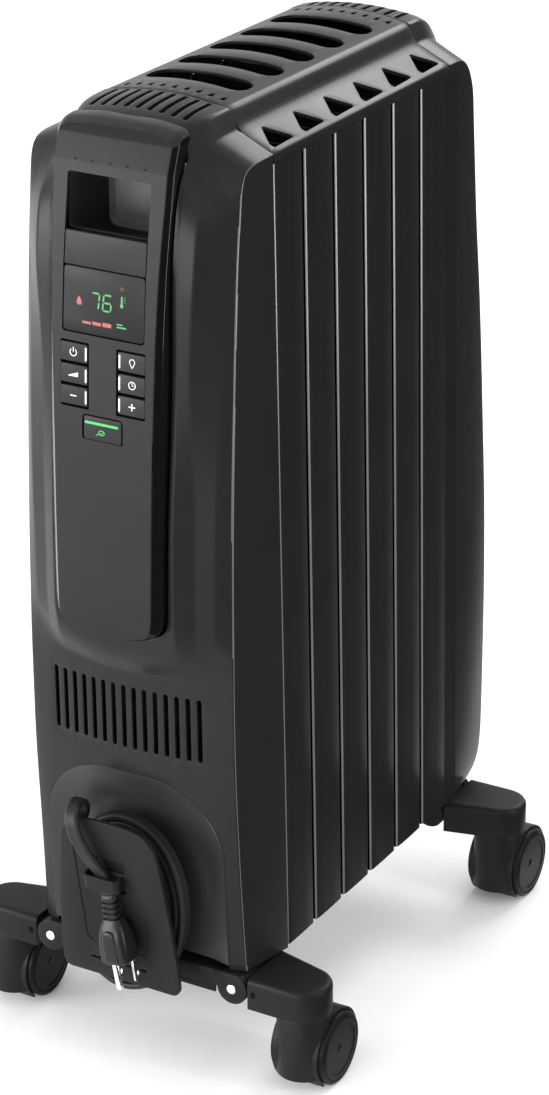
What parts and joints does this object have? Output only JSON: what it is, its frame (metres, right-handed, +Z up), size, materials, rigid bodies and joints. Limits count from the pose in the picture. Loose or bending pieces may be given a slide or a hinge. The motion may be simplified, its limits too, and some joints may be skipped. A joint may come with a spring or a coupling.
{
  "type": "oil filled radiator heater",
  "caption": "Upright oil filled radiator with a slotted top grille, a control panel with a hand hold, cord storage and folding castor arms.",
  "frame": {"origin": "on the floor, midway across the width and midway between the cord clip's front and the rear cover's back", "axes": "+X to the heater's own left-hand side when it faces -Y, so to the right for someone looking at the panel; the control panel faces -Y; +Z is up"},
  "size_m": [0.2652, 0.4022, 0.645],
  "materials": {
    "fin_paint": "satin black powder coat",
    "cover_paint": "satin black",
    "panel_gloss": "satin face with glossy bevels",
    "button_plastic": "satin black",
    "window_plastic": "smoked and glossy",
    "recess_plastic": "fine grain",
    "board": "lacquered board",
    "bright_metal": "bright plated steel",
    "axle_steel": "drawn steel",
    "cord_rubber": "matt ribbed jacket",
    "wheel_plastic": "fine grain nylon",
    "base_plastic": "fine grain"
  },
  "bodies": {
    "heater": {"fin_1": "fin_paint", "fin_2": "fin_paint", "fin_3": "fin_paint", "fin_4": "fin_paint", "fin_5": "fin_paint", "fin_6": "fin_paint", "fin_7": "fin_paint", "hub_plugs": "bright_metal", "heating_element": "bright_metal", "thermal_cutout": "bright_metal", "top_grille": "cover_paint", "front_cover": "cover_paint", "rear_cover": "cover_paint", "control_panel": "panel_gloss", "hand_hold": "recess_plastic", "panel_insert": "panel_gloss", "display_window": "window_plastic", "display_board": "board", "power_board": "board", "wrap_post": "base_plastic", "cord_plate": "base_plastic", "cord_clip": "base_plastic", "cord_gland": "cord_rubber", "cord_coil": "cord_rubber", "cord_tube": "cord_rubber", "plug_body": "cord_rubber", "plug_prongs": "bright_metal", "front_bracket": "base_plastic", "rear_bracket": "base_plastic", "hinge_pins_front": "bright_metal", "hinge_pins_rear": "bright_metal"},
    "button_power": {"button_power": "button_plastic"},
    "button_level": {"button_level": "button_plastic"},
    "button_minus": {"button_minus": "button_plastic"},
    "button_frost": {"button_frost": "button_plastic"},
    "button_timer": {"button_timer": "button_plastic"},
    "button_plus": {"button_plus": "button_plastic"},
    "button_eco": {"button_eco": "button_plastic"},
    "arm_front_right": {"arm_front_right": "base_plastic"},
    "castor_front_right": {"castor_front_right": "base_plastic", "axle_front_right": "axle_steel"},
    "wheel_front_right_outer": {"wheel_front_right_outer": "wheel_plastic"},
    "wheel_front_right_inner": {"wheel_front_right_inner": "wheel_plastic"},
    "arm_front_left": {"arm_front_left": "base_plastic"},
    "castor_front_left": {"castor_front_left": "base_plastic", "axle_front_left": "axle_steel"},
    "wheel_front_left_outer": {"wheel_front_left_outer": "wheel_plastic"},
    "wheel_front_left_inner": {"wheel_front_left_inner": "wheel_plastic"},
    "arm_rear_right": {"arm_rear_right": "base_plastic"},
    "castor_rear_right": {"castor_rear_right": "base_plastic", "axle_rear_right": "axle_steel"},
    "wheel_rear_right_outer": {"wheel_rear_right_outer": "wheel_plastic"},
    "wheel_rear_right_inner": {"wheel_rear_right_inner": "wheel_plastic"},
    "arm_rear_left": {"arm_rear_left": "base_plastic"},
    "castor_rear_left": {"castor_rear_left": "base_plastic", "axle_rear_left": "axle_steel"},
    "wheel_rear_left_outer": {"wheel_rear_left_outer": "wheel_plastic"},
    "wheel_rear_left_inner": {"wheel_rear_left_inner": "wheel_plastic"}
  },
  "joints": [
    {"name": "power_press", "type": "slide", "parent": "heater", "child": "button_power", "axis": [0, 1, 0], "range_m": [0, 0.0012], "stiffness_N_per_m": 400, "springref_m": -0.0006},
    {"name": "level_press", "type": "slide", "parent": "heater", "child": "button_level", "axis": [0, 1, 0], "range_m": [0, 0.0012], "stiffness_N_per_m": 400, "springref_m": -0.0006},
    {"name": "minus_press", "type": "slide", "parent": "heater", "child": "button_minus", "axis": [0, 1, 0], "range_m": [0, 0.0012], "stiffness_N_per_m": 400, "springref_m": -0.0006},
    {"name": "frost_press", "type": "slide", "parent": "heater", "child": "button_frost", "axis": [0, 1, 0], "range_m": [0, 0.0012], "stiffness_N_per_m": 400, "springref_m": -0.0006},
    {"name": "timer_press", "type": "slide", "parent": "heater", "child": "button_timer", "axis": [0, 1, 0], "range_m": [0, 0.0012], "stiffness_N_per_m": 400, "springref_m": -0.0006},
    {"name": "plus_press", "type": "slide", "parent": "heater", "child": "button_plus", "axis": [0, 1, 0], "range_m": [0, 0.0012], "stiffness_N_per_m": 400, "springref_m": -0.0006},
    {"name": "eco_press", "type": "slide", "parent": "heater", "child": "button_eco", "axis": [0, 1, 0], "range_m": [0, 0.0012], "stiffness_N_per_m": 400, "springref_m": -0.0006},
    {"name": "fold_front_right", "type": "hinge", "parent": "heater", "child": "arm_front_right", "pos_m": [0.0697, -0.1381, 0.0687], "axis": [0, 1, 0], "range_deg": [0, 85]},
    {"name": "swivel_front_right", "type": "hinge", "parent": "arm_front_right", "child": "castor_front_right", "pos_m": [0.1125, -0.1381, 0.06], "axis": [0, 0, 1], "continuous": true},
    {"name": "roll_front_right_outer", "type": "hinge", "parent": "castor_front_right", "child": "wheel_front_right_outer", "pos_m": [0.1125, -0.1231, 0.025], "axis": [1, 0, 0], "continuous": true},
    {"name": "roll_front_right_inner", "type": "hinge", "parent": "castor_front_right", "child": "wheel_front_right_inner", "pos_m": [0.1125, -0.1231, 0.025], "axis": [1, 0, 0], "continuous": true},
    {"name": "fold_front_left", "type": "hinge", "parent": "heater", "child": "arm_front_left", "pos_m": [-0.0697, -0.1381, 0.0687], "axis": [0, -1, 0], "range_deg": [0, 85]},
    {"name": "swivel_front_left", "type": "hinge", "parent": "arm_front_left", "child": "castor_front_left", "pos_m": [-0.1125, -0.1381, 0.06], "axis": [0, 0, 1], "continuous": true},
    {"name": "roll_front_left_outer", "type": "hinge", "parent": "castor_front_left", "child": "wheel_front_left_outer", "pos_m": [-0.1125, -0.1231, 0.025], "axis": [1, 0, 0], "continuous": true},
    {"name": "roll_front_left_inner", "type": "hinge", "parent": "castor_front_left", "child": "wheel_front_left_inner", "pos_m": [-0.1125, -0.1231, 0.025], "axis": [1, 0, 0], "continuous": true},
    {"name": "fold_rear_right", "type": "hinge", "parent": "heater", "child": "arm_rear_right", "pos_m": [0.0697, 0.1483, 0.0687], "axis": [0, 1, 0], "range_deg": [0, 85]},
    {"name": "swivel_rear_right", "type": "hinge", "parent": "arm_rear_right", "child": "castor_rear_right", "pos_m": [0.1125, 0.1483, 0.06], "axis": [0, 0, 1], "continuous": true},
    {"name": "roll_rear_right_outer", "type": "hinge", "parent": "castor_rear_right", "child": "wheel_rear_right_outer", "pos_m": [0.1125, 0.1633, 0.025], "axis": [1, 0, 0], "continuous": true},
    {"name": "roll_rear_right_inner", "type": "hinge", "parent": "castor_rear_right", "child": "wheel_rear_right_inner", "pos_m": [0.1125, 0.1633, 0.025], "axis": [1, 0, 0], "continuous": true},
    {"name": "fold_rear_left", "type": "hinge", "parent": "heater", "child": "arm_rear_left", "pos_m": [-0.0697, 0.1483, 0.0687], "axis": [0, -1, 0], "range_deg": [0, 85]},
    {"name": "swivel_rear_left", "type": "hinge", "parent": "arm_rear_left", "child": "castor_rear_left", "pos_m": [-0.1125, 0.1483, 0.06], "axis": [0, 0, 1], "continuous": true},
    {"name": "roll_rear_left_outer", "type": "hinge", "parent": "castor_rear_left", "child": "wheel_rear_left_outer", "pos_m": [-0.1125, 0.1633, 0.025], "axis": [1, 0, 0], "continuous": true},
    {"name": "roll_rear_left_inner", "type": "hinge", "parent": "castor_rear_left", "child": "wheel_rear_left_inner", "pos_m": [-0.1125, 0.1633, 0.025], "axis": [1, 0, 0], "continuous": true}
  ]
}
